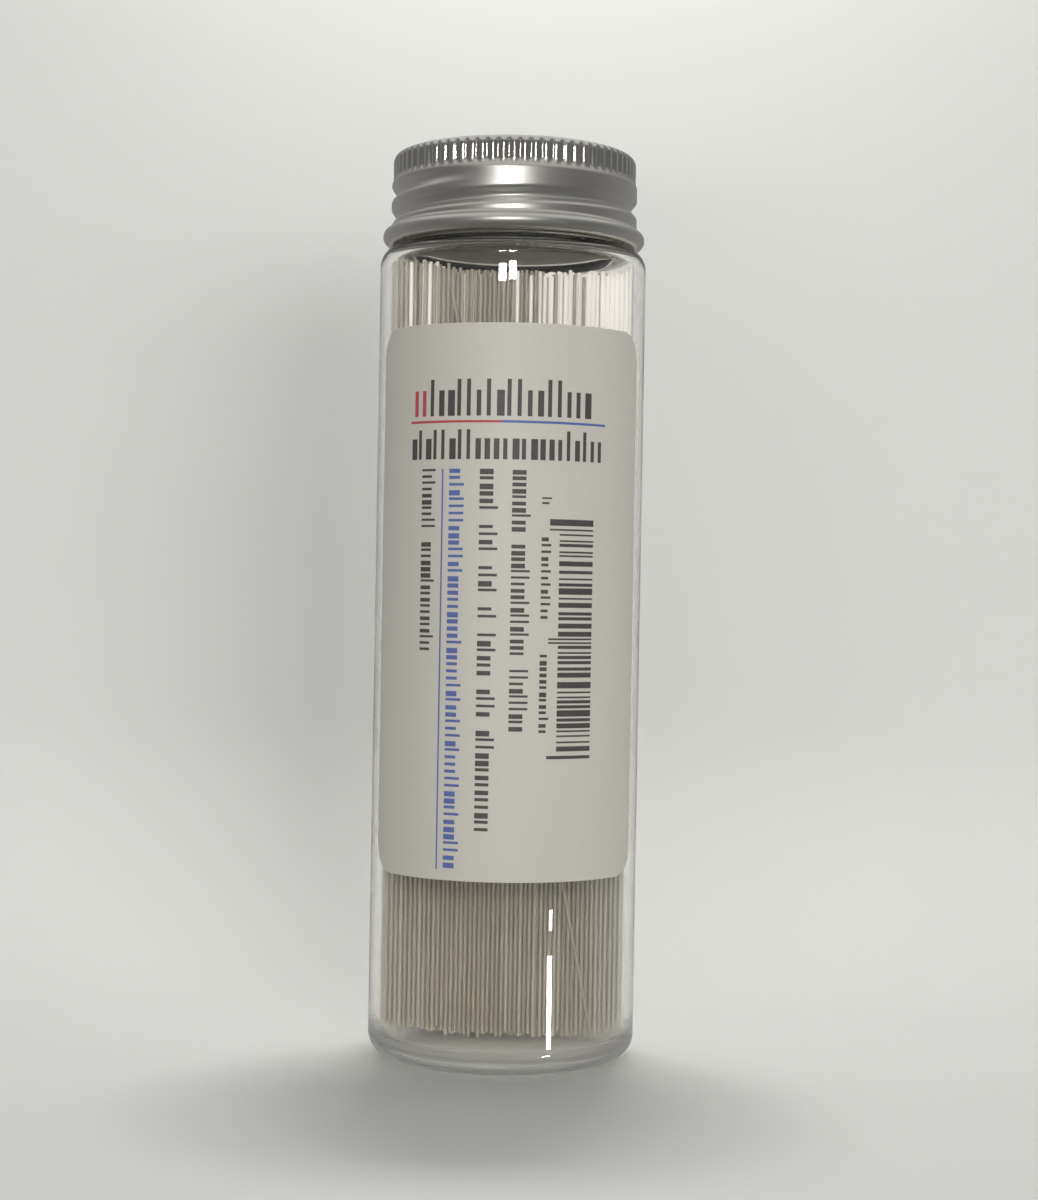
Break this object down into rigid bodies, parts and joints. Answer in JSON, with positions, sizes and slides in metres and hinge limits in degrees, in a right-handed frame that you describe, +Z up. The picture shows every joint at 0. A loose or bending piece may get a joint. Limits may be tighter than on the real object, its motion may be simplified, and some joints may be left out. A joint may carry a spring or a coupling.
{
  "type": "screw-capped glass vial of glass capillary tubes",
  "caption": "Upright round glass vial with a paper label and a knurled aluminium screw cap, holding a loose bundle of thin open-ended glass capillary tubes.",
  "frame": {"origin": "centre of the vial's base, on the surface it stands on", "axes": "+Z up along the vial's axis to the cap, -Y out through the middle of the label, +X to the right as the label is faced"},
  "size_m": [0.035, 0.0351, 0.118],
  "materials": {
    "vial_glass": "fire-polished clear glass",
    "tube_glass": "drawn clear glass",
    "cap_aluminium": "satin, pressed and rolled sheet",
    "liner_foam": "matte expanded polyethylene",
    "label_paper": "satin white paper with printed bars"
  },
  "bodies": {
    "vial": {"glass_vial": "vial_glass", "label": "label_paper", "bundle_rear": "tube_glass", "bundle_middle": "tube_glass", "bundle_front": "tube_glass", "loose_capillary": "tube_glass"},
    "liner": {"cap_liner": "liner_foam"},
    "cap": {"screw_cap": "cap_aluminium"}
  },
  "joints": [
    {"name": "cap_lift", "type": "slide", "parent": "vial", "child": "liner", "axis": [0, 0, 1], "range_m": [0, 0.012]},
    {"name": "cap_turn", "type": "hinge", "parent": "liner", "child": "cap", "pos_m": [0, 0, 0.112], "axis": [0, 0, 1], "range_deg": [0, 1440]}
  ],
  "couplings": [
    {"joint": "cap_lift", "follows": "cap_turn", "m_per_rad": 0.00047746}
  ]
}
